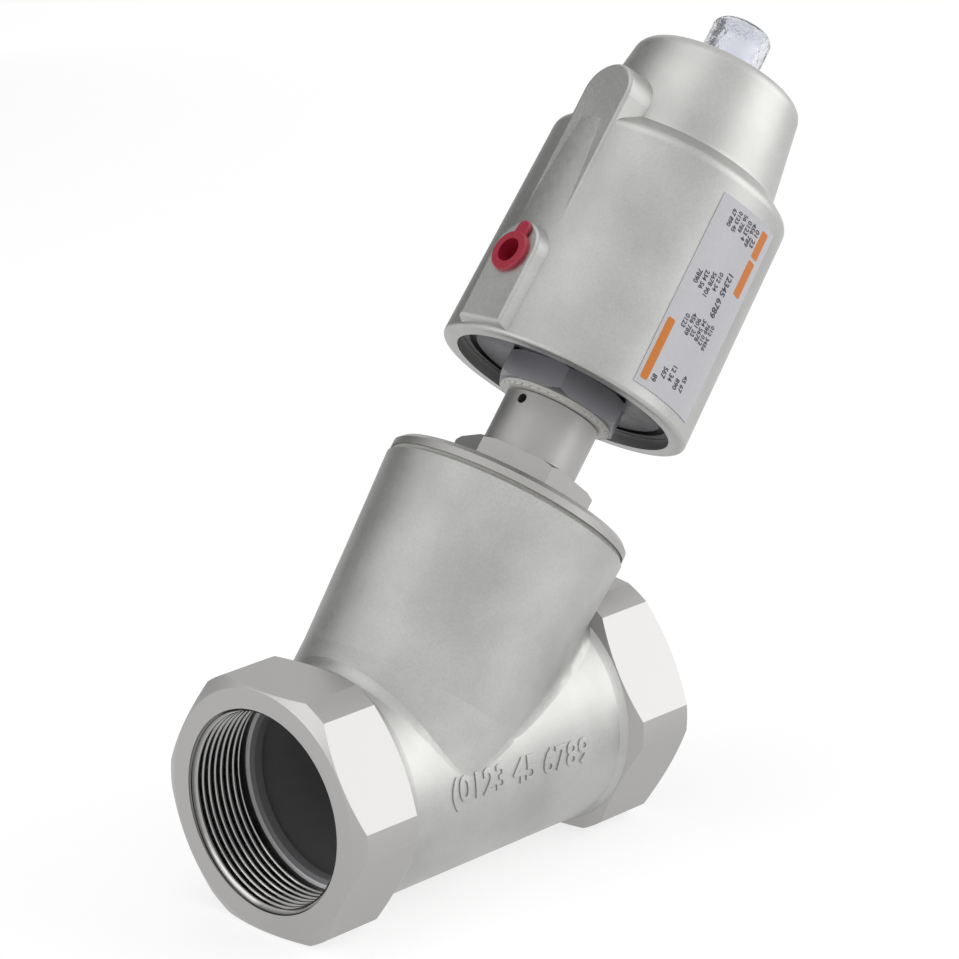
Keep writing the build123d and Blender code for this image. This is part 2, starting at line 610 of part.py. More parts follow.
PLUG_FLANGE_R = 6.4
PLUG_FLANGE = 1.6
PLUG_WALL = 1.1
PLUG_LENGTH = 5.5
EAR_R = 2.4
EAR_REACH = 7.6               # from the plug's centre to the ear's
EAR_THICK = 1.2
EAR_LIFT = 0.3
EAR_TURN = -9.0


def air_port_plug():
    """Hollow push-in transport plug with a pull ear, along local -X."""
    body_r = PORT_R - FIXED
    shell = turned(
        (0, -PLUG_LENGTH), (body_r - 0.8, -PLUG_LENGTH), (body_r, -PLUG_LENGTH + 1.5), (body_r, SEATED),
        (PLUG_FLANGE_R, SEATED), (PLUG_FLANGE_R, PLUG_FLANGE - 0.4), (PLUG_FLANGE_R - 0.4, PLUG_FLANGE),
        (body_r - PLUG_WALL, PLUG_FLANGE), (body_r - PLUG_WALL, -PLUG_LENGTH + 1.2), (0, -PLUG_LENGTH + 1.2),
    )
    neck = Pos(EAR_REACH / 2 + body_r / 2, 0) * Rectangle(EAR_REACH - body_r, 2 * EAR_R)
    ear = extrude(Pos(0, 0, EAR_LIFT) * (Pos(EAR_REACH, 0) * Circle(EAR_R) + neck), EAR_THICK)
    ear = fillet(ear.faces().sort_by(Axis.Z)[-1].edges().filter_by(GeomType.CIRCLE), EAR_THICK / 3)
    place = Pos(-BOSS_FACE, 0, RIM + PORT_ABOVE_RIM) * Rot(0, -90, 0) * Rot(0, 0, EAR_TURN)
    return place * (shell + ear)


# ---------------------------------------------------------------- stem assembly
SEAL_THICK = 4.0
SEAL_INNER_R = SEAT_R - 4.5
SEAL_OUTER_R = SEAT_R + SEAT_NOSE_WIDTH + SEAL_OVERHANG
SEAL_FOOT = SEAT_FACE + SEATED
SEAL_TOP = SEAL_FOOT + SEAL_THICK
DISC_PLATE = 6.0
DISC_R = SEAL_OUTER_R + SEAL_OVERHANG
DISC_HUB_R = 10.5
DISC_HUB = 7.0
WASHER_THICK = 3.5
DISC_TOP = SEAL_TOP + DISC_PLATE
STEM_STEP = SEAL_TOP + 4.0
DISC_NUT_AF = 17.0
DISC_NUT_HEIGHT = 6.5
DISC_NUT_TOP = SEAL_FOOT + 1.0 - WASHER_THICK - SEATED
STEM_FOOT = DISC_NUT_TOP - DISC_NUT_HEIGHT - 1.5
PISTON_STEP = PISTON_FOOT + 2.0
PISTON_NUT_AF = 16.0
PISTON_NUT_HEIGHT = 6.5
WASHER = 1.5
WASHER_R = 9.0
STEM_TOP = PISTON_TOP + WASHER + PISTON_NUT_HEIGHT + 2.0


def stem():
    """Stem with reduced, bevelled ends for the disc and the piston."""
    return turned(
        (0, STEM_FOOT), (STEM_END_R - 0.6, STEM_FOOT), (STEM_END_R, STEM_FOOT + 0.6), (STEM_END_R, STEM_STEP),
        (STEM_R, STEM_STEP), (STEM_R, PISTON_STEP), (STEM_END_R, PISTON_STEP), (STEM_END_R, STEM_TOP - 0.6),
        (STEM_END_R - 0.6, STEM_TOP), (0, STEM_TOP),
    )


def valve_disc():
    """Disc with a hub round the stem and a boss inside the seal ring."""
    hole = STEM_END_R + FIXED
    boss_r = SEAL_INNER_R - FIXED
    return turned(
        (hole, SEAL_FOOT + 1.0 + SEATED), (boss_r, SEAL_FOOT + 1.0 + SEATED), (boss_r, SEAL_TOP + SEATED),
        (DISC_R, SEAL_TOP + SEATED), (DISC_R, DISC_TOP - 2.0), (DISC_R - 2.0, DISC_TOP),
        (DISC_HUB_R + 1.5, DISC_TOP), (DISC_HUB_R, DISC_TOP + 1.5), (DISC_HUB_R, DISC_TOP + DISC_HUB - 0.8),
        (DISC_HUB_R - 0.8, DISC_TOP + DISC_HUB), (STEM_R + FIXED, DISC_TOP + DISC_HUB),
        (STEM_R + FIXED, STEM_STEP), (hole, STEM_STEP - SEATED),
    )


def seat_seal():
    """Flat sealing ring whose inner lip sits over the washer."""
    return turned(
        (SEAL_INNER_R, SEAL_FOOT + 1.0), (SEAL_INNER_R + 1.5, SEAL_FOOT + 1.0), (SEAL_INNER_R + 2.5, SEAL_FOOT),
        (SEAL_OUTER_R, SEAL_FOOT), (SEAL_OUTER_R, SEAL_TOP), (SEAL_INNER_R, SEAL_TOP),
    )


def seal_washer():
    top = SEAL_FOOT + 1.0 - SEATED
    return turned(
        (STEM_END_R + FIXED, top - WASHER_THICK + SEATED), (SEAL_INNER_R - 1.0, top - WASHER_THICK + SEATED),
        (SEAL_INNER_R + 1.4, top - 1.2), (SEAL_INNER_R + 1.4, top), (STEM_END_R + FIXED, top),
    )


def disc_nut():
    foot = DISC_NUT_TOP - DISC_NUT_HEIGHT
    return hexagon(DISC_NUT_AF, foot, DISC_NUT_TOP, 0.8) - rod(STEM_END_R + FIXED, foot - 1, DISC_NUT_TOP + 1)


PISTON_EDGE = CYLINDER_R - RING_GAP
SEAL_GROOVE = 4.2
GUIDE_GROOVE = 3.4
GROOVE_DEPTH = 3.0


def piston():
    """Turned piston: hub, spring pocket, grooves for the lip seal and the guide band."""
    hole = STEM_END_R + FIXED
    seal_foot = PISTON_FOOT + 1.6
    guide_foot = PISTON_TOP - 1.6 - GUIDE_GROOVE
    edge = PISTON_EDGE
    deep = edge - GROOVE_DEPTH
    pocket_outer = SPRING_R + SPRING_WIRE + SPRING_SIDE_GAP
    hub = SPRING_R - SPRING_WIRE - SPRING_SIDE_GAP
    return turned(
        (STEM_R + FIXED, PISTON_FOOT), (edge, PISTON_FOOT), (edge, seal_foot), (deep, seal_foot),
        (deep, seal_foot + SEAL_GROOVE), (edge, seal_foot + SEAL_GROOVE), (edge, guide_foot),
        (edge - 1.5, guide_foot), (edge - 1.5, guide_foot + GUIDE_GROOVE), (edge, guide_foot + GUIDE_GROOVE),
        (edge, PISTON_TOP), (pocket_outer, PISTON_TOP), (pocket_outer, SPRING_POCKET), (hub, SPRING_POCKET),
        (hub, PISTON_TOP), (hole, PISTON_TOP), (hole, PISTON_STEP + SEATED), (STEM_R + FIXED, PISTON_STEP + SEATED),
    )


def piston_seal():
    """Lip seal opening towards the air side."""
    foot = PISTON_FOOT + 1.6 + 0.1
    top = foot + SEAL_GROOVE - 0.2
    inner = PISTON_EDGE - GROOVE_DEPTH + FIXED
    outer = CYLINDER_R - RUNNING
    middle = (inner + outer) / 2
    return turned(
        (inner, foot), (middle - 0.3, foot), (middle, foot + 2.2), (middle + 0.6, foot), (outer, foot),
        (outer, foot + 1.4), (outer - 0.6, top), (inner, top),
    )


def piston_guide():
    """Guide band with a slanting cut."""
    foot = PISTON_TOP - 1.6 - GUIDE_GROOVE
    band = ring(PISTON_EDGE - 1.5 + FIXED, CYLINDER_R - RUNNING, foot + 0.1, foot + GUIDE_GROOVE - 0.1)
    return band - Pos(CYLINDER_R, 0, foot + GUIDE_GROOVE / 2) * Rot(30, 0, 0) * Box(6, 0.8, 12)


def piston_washer():
    return ring(STEM_END_R + FIXED, WASHER_R, PISTON_TOP + SEATED, PISTON_TOP + WASHER)


def piston_nut():
    foot = PISTON_TOP + WASHER + SEATED
    hole = rod(STEM_END_R + FIXED, foot - 1, foot + PISTON_NUT_HEIGHT + 1)
    return hexagon(PISTON_NUT_AF, foot, foot + PISTON_NUT_HEIGHT, 0.8) - hole


def indicator_rod():
    """Bright rod on the stem's end; its head rises into the clear cap when the valve opens."""
    head_r = CAP_THREAD_R - CAP_WALL - 0.8
    top = DOME_TOP + CAP_HEIGHT - CAP_WALL - 1.5 - STROKE
    foot = STEM_TOP + SEATED
    return turned(
        (0, foot), (3.5, foot), (3.5, foot + 3.0), (2.2, foot + 4.5), (2.2, top - 9.0), (head_r, top - 7.0),
        (head_r, top - 1.5), (head_r - 1.5, top), (0, top),
    )


# ---------------------------------------------------------------- all nodes
ON_STEM_AXIS = {
    "bonnet_gasket": bonnet_gasket, "bonnet": bonnet, "stem_guide": stem_guide, "disc_springs": disc_springs,
    "packing_support": packing_support, "packing_rings": packing_rings, "gland_nut": gland_nut,
    "upper_bush": upper_bush, "air_seal_ring": air_seal_ring, "slip_ring": slip_ring,
    "neck_snap_ring": neck_snap_ring, "stem": stem, "valve_disc": valve_disc, "seat_seal": seat_seal,
    "seal_washer": seal_washer, "disc_nut": disc_nut, "piston": piston, "piston_seal": piston_seal,
    "piston_guide": piston_guide, "piston_washer": piston_washer, "piston_nut": piston_nut,
    "indicator_rod": indicator_rod,
}
ON_HEAD = {
    "actuator_nut": actuator_nut, "neck_seal_ring": neck_seal_ring, "base_plate": base_plate,
    "base_seal_ring": base_seal_ring, "base_circlip": base_circlip, "actuator_housing": actuator_housing,
    "spring_seat": spring_seat, "return_spring": return_spring,
    "cap_seal": cap_seal, "indicator_cap": indicator_cap, "data_label": data_label,
    "air_port_plug": air_port_plug,
}

export_step(valve_body(), "parts/valve_body.step")
for name, make in ON_STEM_AXIS.items():
    export_step(STEM_FRAME.location * make(), f"parts/{name}.step")
for name, make in ON_HEAD.items():
    export_step(HEAD_PLACE * make(), f"parts/{name}.step")
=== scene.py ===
"""Looks of an angle seat valve with a piston actuator: finishes, socket threads, label print and stage."""

import math

import bmesh
import bpy
import numpy as np
from mathutils import Matrix, Vector


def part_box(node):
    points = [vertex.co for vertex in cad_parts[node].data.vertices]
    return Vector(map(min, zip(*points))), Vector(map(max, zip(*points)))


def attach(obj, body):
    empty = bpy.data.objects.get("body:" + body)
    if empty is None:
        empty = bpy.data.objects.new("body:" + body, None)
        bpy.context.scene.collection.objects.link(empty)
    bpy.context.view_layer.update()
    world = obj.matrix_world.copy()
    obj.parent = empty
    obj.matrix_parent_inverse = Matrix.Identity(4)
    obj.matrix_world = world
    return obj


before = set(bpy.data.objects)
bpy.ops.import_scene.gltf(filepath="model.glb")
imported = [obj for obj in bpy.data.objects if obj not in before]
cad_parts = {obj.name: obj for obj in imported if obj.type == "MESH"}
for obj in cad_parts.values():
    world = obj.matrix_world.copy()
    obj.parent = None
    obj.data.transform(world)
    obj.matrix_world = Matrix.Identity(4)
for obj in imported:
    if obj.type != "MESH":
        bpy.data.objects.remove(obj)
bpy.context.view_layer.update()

bl_info = {
    "name": "Angle seat valve finishes",
    "version": (1, 0, 0),
    "blender": (4, 5, 0),
    "location": "View3D > Sidebar > Valve",
    "description": "Gives the packed valve its metals, plastics, threads and label print",
    "category": "Object",
}

MM = 0.001
STEM_ANGLE = math.radians(50.0)
STEM_FOOT = np.array([43.8, 0.0, 0.0]) * MM
ACROSS = np.array([math.sin(STEM_ANGLE), 0.0, -math.cos(STEM_ANGLE)])
SIDEWAYS = np.array([0.0, 1.0, 0.0])
ALONG = np.array([math.cos(STEM_ANGLE), 0.0, math.sin(STEM_ANGLE)])
FACE_TO_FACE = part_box("valve_body")[1].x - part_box("valve_body")[0].x

# where the body's finishes change: depth from the nearer mouth, and distance from the pipe's axis
HEXAGON_LENGTH = 23.7 * MM
CHAMBER_DEPTH = 23.4 * MM
CHAMBER_RADIUS = 30.5 * MM
RING_DEPTH = 22.1 * MM
RING_RADIUS = 28.8 * MM
# the band at the end of each thread, painted near-white as a highlight
BAND_DEPTHS = (20.5 * MM, 24.5 * MM)
BAND_RADII = (28.75 * MM, 29.9 * MM)
# the housing's turned mouth, in the stem's station and radius
MOUTH_STATION = 134 * MM
MOUTH_RADIUS = 36.2 * MM

# the wall that carries the label: a drafted cone over the housing's straight part, and the film on it
WALL_FOOT_STATION = 122.12 * MM
WALL_HEIGHT = 72.1 * MM
WALL_FOOT_RADIUS = 38.9 * MM
WALL_DRAFT = 1.5 * MM
FILM_THICKNESS = 0.25 * MM
PRINT_TOP = 187.12 * MM
PRINT_EDGE = math.radians(-112.0)
PRINT_RADIUS = 38.3 * MM
# shares of a printed digit's height: its narrowing along the row, and how much its strokes are thickened
PRINT_NARROWING = 0.92
PRINT_BOLD = 0.035
# a digit of Blender's own font is this share of the font's size high
DIGIT_SHARE = 0.7

# the cast numerals along the pipe: where they begin, how far they run, and where and how steeply they fall
NUMERAL_START = 40 * MM
NUMERAL_RUN = 56 * MM
NUMERAL_LEVEL = 47 * MM
NUMERAL_FALL = 0.06
NUMERAL_DROP = 0.4 * MM


# ---------------------------------------------------------------- sizes and colours
class ValveSizes(bpy.types.PropertyGroup):
    thread_pitch: bpy.props.FloatProperty(
        name="Thread pitch", description="Distance between turns of the pipe thread, G 2",
        default=2.309 * MM, unit="LENGTH", precision=4)
    thread_depth: bpy.props.FloatProperty(
        name="Thread depth", description="Height of the thread from root to crest",
        default=1.479 * MM, unit="LENGTH", precision=4)
    socket_radius: bpy.props.FloatProperty(
        name="Socket radius", description="Wall of the socket in the solid part",
        default=29.8 * MM, unit="LENGTH", precision=4)
    thread_length: bpy.props.FloatProperty(
        name="Thread length", description="Depth of the threaded socket",
        default=22.0 * MM, unit="LENGTH", precision=4)
    pipe_radius: bpy.props.FloatProperty(
        name="Pipe radius", description="Outside of the cast pipe, where the numerals stand",
        default=34.8 * MM, unit="LENGTH", precision=4)
    numeral_height: bpy.props.FloatProperty(
        name="Numeral height", description="Height of the cast numerals",
        default=7.4 * MM, unit="LENGTH", precision=4)
    print_height: bpy.props.FloatProperty(
        name="Print thickness", description="How far the print stands on the label",
        default=0.03 * MM, unit="LENGTH", precision=5)


class ValveColours(bpy.types.PropertyGroup):
    casting: bpy.props.StringProperty(
        name="Casting", description="Blasted stainless casting, sRGB hex", default="B7B7B5")
    turned: bpy.props.StringProperty(
        name="Turned steel", description="Turned stainless steel, sRGB hex", default="B4B3B2")
    nut: bpy.props.StringProperty(
        name="Nut", description="Blackened steel nut, sRGB hex", default="949398")
    label: bpy.props.StringProperty(
        name="Label", description="Silver polyester film, sRGB hex", default="DBDBE1")
    dark_ink: bpy.props.StringProperty(
        name="Dark ink", description="Ink of the numerals on the label, sRGB hex", default="3C3C44")
    orange_ink: bpy.props.StringProperty(
        name="Orange ink", description="Ink of the bars on the label, sRGB hex", default="E8862C")
    plug: bpy.props.StringProperty(
        name="Plug", description="Red vinyl transport plug, sRGB hex", default="B0243F")


def sizes():
    return bpy.context.scene.valve_sizes


def colours():
    return bpy.context.scene.valve_colours


# ---------------------------------------------------------------- small helpers
def linear(hex_colour):
    """sRGB hex to linear RGBA: a channel c becomes ((c + 0.055) / 1.055) to the power 2.4, or c / 12.92
    when it is dark."""
    channels = [int(hex_colour[i:i + 2], 16) / 255 for i in (0, 2, 4)]
    return tuple(c / 12.92 if c <= 0.04045 else ((c + 0.055) / 1.055) ** 2.4 for c in channels) + (1.0,)


def darker(hex_colour, share):
    """The same colour with its linear channels multiplied by share."""
    return tuple(share * c for c in linear(hex_colour)[:3]) + (1.0,)


def add_node(tree, kind, inputs=None, **settings):
    """Adds one node; inputs holds a value, or the output that feeds it, for each named or numbered socket."""
    made = tree.nodes.new(kind)
    for key, value in settings.items():
        setattr(made, key, value)
    for socket, value in (inputs or {}).items():
        if isinstance(value, bpy.types.NodeSocket):
            tree.links.new(value, made.inputs[socket])
        else:
            made.inputs[socket].default_value = value
    return made


def new_material(name):
    """Empty material with its output, and the object coordinates that every pattern reads."""
    material = bpy.data.materials.new(name)
    material.use_nodes = True
    tree = material.node_tree
    tree.nodes.clear()
    output = add_node(tree, "ShaderNodeOutputMaterial")
    coords = add_node(tree, "ShaderNodeTexCoord").outputs["Object"]
    return material, tree, output, coords


def calculate(tree, operation, one, other=0.0):
    return add_node(tree, "ShaderNodeMath", {0: one, 1: other}, operation=operation).outputs[0]


def above(tree, value, limit):
    return calculate(tree, "GREATER_THAN", value, limit)


def below(tree, value, limit):
    return calculate(tree, "LESS_THAN", value, limit)


def both(tree, one, other):
    return calculate(tree, "MULTIPLY", one, other)


def either(tree, one, other):
    return calculate(tree, "MAXIMUM", one, other)


def mix(tree, share, one, other, **settings):
    """The value between one and other, or the colour where settings ask for RGBA."""
    made = add_node(tree, "ShaderNodeMix", {"Factor": share, "A": one, "B": other}, **settings)
    return made.outputs["Result"]


def spread(tree, value, low, high, source=(0.3, 0.7)):
    """Maps value, which runs over source, to the range from low to high."""
    made = add_node(tree, "ShaderNodeMapRange", {
        "Value": value, "From Min": source[0], "From Max": source[1], "To Min": low, "To Max": high})
    return made.outputs["Result"]


def noise(tree, coords, patch, detail=2.0):
    """Cloudy pattern whose patches are about as long as patch, in metres."""
    return add_node(tree, "ShaderNodeTexNoise", {
        "Vector": coords, "Scale": 1 / patch, "Detail": detail}).outputs["Fac"]


def finish_metal(tree, output, colour, metallic, rough, bump):
    """Ends a material with its shader, at the default index of refraction."""
    shader = add_node(tree, "ShaderNodeBsdfPrincipled", {
        "Base Color": colour, "Metallic": metallic, "Roughness": rough, "Normal": bump.outputs["Normal"]})
    tree.links.new(shader.outputs["BSDF"], output.inputs["Surface"])


def seen_directly(tree):
    """1 for rays from the camera, reflections and rays through clear plastic, and 0 for plain light."""
    paths = add_node(tree, "ShaderNodeLightPath").outputs
    opaque = either(tree, paths["Is Camera Ray"], paths["Is Glossy Ray"])
    return either(tree, opaque, paths["Is Transmission Ray"])


def mottled_material(name, hex_colour, roughness, grain, metallic=0.0, mottle=0.06, relief=0.1,
                     depth=0.05 * MM, **sockets):
    """One finish with the small unevenness that its making leaves: grain is the size of a patch in metres,
    mottle its share of colour and roughness, relief how strongly it dents the light, and depth how deep
    the dents are."""
    material, tree, output, coords = new_material(name)
    patches = noise(tree, coords, grain, detail=3.0)
    share = spread(tree, patches, 0.0, 1.0)
    colour = mix(tree, share, darker(hex_colour, 1 - 2 * mottle), linear(hex_colour), data_type="RGBA")
    rough = spread(tree, patches, roughness * (1 + 2 * mottle), roughness * (1 - 2 * mottle))
    bump = add_node(tree, "ShaderNodeBump", {"Strength": relief, "Distance": depth, "Height": patches})
    inputs = {
        "Base Color": colour, "Metallic": metallic, "Roughness": rough, "Normal": bump.outputs["Normal"]}
    inputs.update({key.replace("_", " "): value for key, value in sockets.items()})
    shader = add_node(tree, "ShaderNodeBsdfPrincipled", inputs)
    tree.links.new(shader.outputs["BSDF"], output.inputs["Surface"])
    return material


def dress(material, *nodes):
    """Gives CAD nodes one material."""
    for name in nodes:
        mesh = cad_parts[name].data
        mesh.materials.clear()
        mesh.materials.append(material)


def grid_mesh(name, points, closed_u, closed_v):
    """Quads over a grid of points, rows by columns; either direction can join end to start."""
    rows, columns = points.shape[:2]
    i = np.arange(rows if closed_u else rows - 1)[:, None]
    j = np.arange(columns if closed_v else columns - 1)[None, :]
    after_i, after_j = (i + 1) % rows, (j + 1) % columns
    corners = [i * columns + j, after_i * columns + j, after_i * columns + after_j, i * columns + after_j]
    quads = np.stack([np.broadcast_to(c, (i.size, j.size)) for c in corners], -1).reshape(-1, 4)
    mesh = bpy.data.meshes.new(name)
    mesh.from_pydata(points.reshape(-1, 3), [], quads.tolist())
    mesh.update()
    return mesh


def add_piece(name, mesh, body, material, smooth=True):
    """Puts a finished mesh in the scene on its body."""
    mesh.materials.clear()
    mesh.materials.append(material)
    mesh.polygons.foreach_set("use_smooth", np.full(len(mesh.polygons), smooth))
    piece = bpy.data.objects.new(name, mesh)
    bpy.context.scene.collection.objects.link(piece)
    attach(piece, body)
    return piece


# ---------------------------------------------------------------- materials
def blasted_casting(name, hex_colour, machined=None, hollow=None, roughness=0.46):
    """Stainless steel casting, bead blasted: an even satin grey, with a fine grain and faint clouds. machined
    and hollow are functions that give the tree's masks for cut faces and for the raw inside."""
    material, tree, output, coords = new_material(name)
    clouds = noise(tree, coords, 24 * MM, detail=3.0)
    # glass beads leave 0.15 mm dimples; drawn at 0.7 mm so that they show
    grain = noise(tree, coords, 0.7 * MM)
    share = spread(tree, clouds, 0.0, 1.0, source=(0.35, 0.65))
    tint = mix(tree, share, darker(hex_colour, 0.86), linear(hex_colour), data_type="RGBA")
    speck = spread(tree, grain, 0.94, 1.05)
    colour = mix(tree, 1.0, tint, speck, data_type="RGBA", blend_type="MULTIPLY")
    rough = spread(tree, grain, roughness - 0.05, roughness + 0.05)
    height = grain
    if machined:
        # milled and turned faces: smoother, brighter, with feed lines
        mask = machined(tree, coords)
        colour = mix(tree, mask, colour, linear("ABAAA9"), data_type="RGBA")
        rough = mix(tree, mask, rough, 0.4)
        # the cutter's lines are 0.2 mm apart; drawn at 0.9 mm so that they show
        lines = calculate(tree, "MULTIPLY", pipe_radius(tree, coords), 2 * math.pi / (0.9 * MM))
        waves = calculate(tree, "MULTIPLY", calculate(tree, "SINE", lines), 0.25)
        height = mix(tree, mask, height, waves)
    metallic = 1.0
    if hollow:
        # the raw skin inside is dull and oxidised, so it scatters light as a dark stone does
        mask = hollow(tree, coords)
        colour = mix(tree, mask, colour, linear("9C9A9D"), data_type="RGBA")
        rough = mix(tree, mask, rough, 0.8)
        metallic = spread(tree, mask, 1.0, 0.15, source=(0.0, 1.0))
        # a painted highlight: a near-white band at the end of the thread, where the stop ring catches the
        # light
        mask = thread_end_highlight(tree, coords)
        colour = mix(tree, mask, colour, linear("F2F2F2"), data_type="RGBA")
        rough = mix(tree, mask, rough, 0.5)
        metallic = mix(tree, mask, metallic, 0.3)
    bump = add_node(tree, "ShaderNodeBump", {"Strength": 0.25, "Distance": 0.05 * MM, "Height": height})
    finish_metal(tree, output, colour, metallic, rough, bump)
    return material


def stem_station(tree, coords):
    """Station along the stem axis: the dot product of the place, less the axis foot, with the axis."""
    shifted = add_node(tree, "ShaderNodeVectorMath", {0: coords, 1: tuple(STEM_FOOT)}, operation="SUBTRACT")
    return add_node(tree, "ShaderNodeVectorMath", {0: shifted.outputs[0], 1: tuple(ALONG)},
                    operation="DOT_PRODUCT").outputs["Value"]


def stem_radius(tree, coords):
    """Distance from the stem axis: the length of the place with its share along the axis taken off."""
    shifted = add_node(tree, "ShaderNodeVectorMath", {0: coords, 1: tuple(STEM_FOOT)}, operation="SUBTRACT")
    across = add_node(tree, "ShaderNodeVectorMath", {0: shifted.outputs[0], 1: tuple(ALONG)},
                      operation="CROSS_PRODUCT")
    return add_node(tree, "ShaderNodeVectorMath", {0: across.outputs[0]}, operation="LENGTH").outputs["Value"]


def distance_from_middle(tree, coords):
    """How far along the pipe a place is from the middle of the body."""
    x = add_node(tree, "ShaderNodeSeparateXYZ", {0: coords}).outputs["X"]
    offset = add_node(tree, "ShaderNodeMath", {0: x, 1: FACE_TO_FACE / 2}, operation="SUBTRACT")
    return add_node(tree, "ShaderNodeMath", {0: offset.outputs[0]}, operation="ABSOLUTE").outputs[0]


def pipe_radius(tree, coords):
    flat = add_node(tree, "ShaderNodeVectorMath", {0: coords, 1: (0.0, 1.0, 1.0)}, operation="MULTIPLY")
    return add_node(tree, "ShaderNodeVectorMath", {0: flat.outputs[0]}, operation="LENGTH").outputs["Value"]


def hexagon_faces(tree, coords):
    """The two hexagon ends are milled."""
    return above(tree, distance_from_middle(tree, coords), FACE_TO_FACE / 2 - HEXAGON_LENGTH)


def body_inside(tree, coords):
    """Raw cast chambers between the two sockets; the cutter cleans only the outer part of the ring behind
    a thread."""
    away, radius = distance_from_middle(tree, coords), pipe_radius(tree, coords)
    chamber_deep = below(tree, away, FACE_TO_FACE / 2 - CHAMBER_DEPTH)
    chamber = both(tree, chamber_deep, below(tree, radius, CHAMBER_RADIUS))
    ring_deep = below(tree, away, FACE_TO_FACE / 2 - RING_DEPTH)
    ring = both(tree, ring_deep, below(tree, radius, RING_RADIUS))
    return either(tree, chamber, ring)


def thread_end_highlight(tree, coords):
    """The narrow band between the end of a socket's thread and the raw chamber, where a highlight is painted.
    """
    away, radius = distance_from_middle(tree, coords), pipe_radius(tree, coords)
    near, far = BAND_DEPTHS
    inner, outer = BAND_RADII
    deep = both(tree, below(tree, away, FACE_TO_FACE / 2 - near), above(tree, away, FACE_TO_FACE / 2 - far))
    wide = both(tree, above(tree, radius, inner), below(tree, radius, outer))
    return both(tree, deep, wide)


def housing_mouth(tree, coords):
    """The housing is turned where the base plate seats."""
    low = below(tree, stem_station(tree, coords), MOUTH_STATION)
    return both(tree, low, below(tree, stem_radius(tree, coords), MOUTH_RADIUS))


def turned_steel(name, hex_colour, roughness=0.3, feed=0.5 * MM):
    """Turned stainless steel: bright, with rings left by the tool along cylinders and across faces."""
    material, tree, output, coords = new_material(name)
    # the tool's feed is 0.15 mm a turn; drawn at 0.5 mm so that it shows
    place = calculate(tree, "ADD", stem_station(tree, coords), stem_radius(tree, coords))
    rings = calculate(tree, "SINE", calculate(tree, "MULTIPLY", place, 2 * math.pi / feed))
    rough = spread(tree, noise(tree, coords, 9 * MM), roughness - 0.04, roughness + 0.05)
    bump = add_node(tree, "ShaderNodeBump", {"Strength": 0.12, "Distance": 0.02 * MM, "Height": rings})
    finish_metal(tree, output, linear(hex_colour), 1.0, rough, bump)
    return material


def cut_thread():
    """Thread chased in stainless steel: colour follows radius, from bright crests to roots darkened with
    painted shade.
    """
    material, tree, output, coords = new_material("cut_thread_stainless")
    s = sizes()
    crest, root = s.socket_radius - 0.8 * s.thread_depth, s.socket_radius - 0.1 * s.thread_depth
    depth = spread(tree, pipe_radius(tree, coords), 0.0, 1.0, source=(crest, root))
    # painted shade: the colour darkens from crest to root, where shade falls between the turns
    colour = mix(tree, depth, linear("A2A1A0"), linear("5E5D5D"), data_type="RGBA")
    # chatter of the tool round the thread, 2 mm apart
    chatter = noise(tree, coords, 2 * MM)
    rough = spread(tree, chatter, 0.12, 0.24)
    bump = add_node(tree, "ShaderNodeBump", {"Strength": 0.2, "Distance": 0.05 * MM, "Height": chatter})
    finish_metal(tree, output, colour, 1.0, rough, bump)
    return material


def clear_polycarbonate():
    """Clear moulded polycarbonate: water-clear with a faint grey cast and a moulder's soft polish."""
    return mottled_material("clear_moulded_polycarbonate", "E9EAF0", 0.06, 2.6 * MM, mottle=0.02, relief=0.8,
                            depth=0.5 * MM, IOR=1.5, Transmission_Weight=1.0)


# ---------------------------------------------------------------- new pieces
def thread_sleeve(start, way):
    """Internal pipe thread as a closed sleeve. The inner wall is a grid of angle by distance x along the
    pipe; its radius swings between root and crest with a rounded triangle wave of x / pitch minus angle /
    full turn. A cone trims the first crests at the mouth, and the thread fades out into a root-deep groove
    at its end. The last two columns close the sleeve inside the wall."""
    s = sizes()
    around, columns = 160, 118
    start_gap, end_gap, wall_gap = 0.02 * MM, 0.05 * MM, 0.03 * MM
    angles = np.linspace(0, 2 * math.pi, around, endpoint=False)
    x = np.linspace(start_gap, s.thread_length - end_gap, columns)
    phase = (x[None, :] / s.thread_pitch - way * angles[:, None] / (2 * math.pi)) % 1.0
    # the triangle wave is stretched by 1.35 and cut off, which leaves flats at crest and root
    wave = np.clip(np.abs(2 * phase - 1) * 1.35 - 0.175, 0, 1)
    # just over half of it is smoothed, which rounds the flats' edges
    wave = wave * wave * (3 - 2 * wave) * 0.55 + wave * 0.45
    root = s.socket_radius - wall_gap
    groove, fade = 2.2 * MM, 1.6 * MM
    run_out = np.clip((s.thread_length - groove - x) / fade, 0, 1)[None, :]
    radius = root - s.thread_depth * wave * run_out
    lead_slope = 0.9
    lead = root - x[None, :] * lead_slope
    radius = np.maximum(radius, np.minimum(lead, root))
    buried = s.socket_radius + 0.35 * MM
    radius = np.concatenate([radius, np.full((len(angles), 2), buried)], 1)
    along = np.concatenate([x, [x[-1], x[0]]])
    points = np.empty(radius.shape + (3,))
    points[..., 0] = start + way * along[None, :]
    points[..., 1] = radius * np.cos(angles)[:, None]
    points[..., 2] = radius * np.sin(angles)[:, None]
    if way < 0:
        points = points[::-1]
    return grid_mesh("socket_thread", points, True, True)


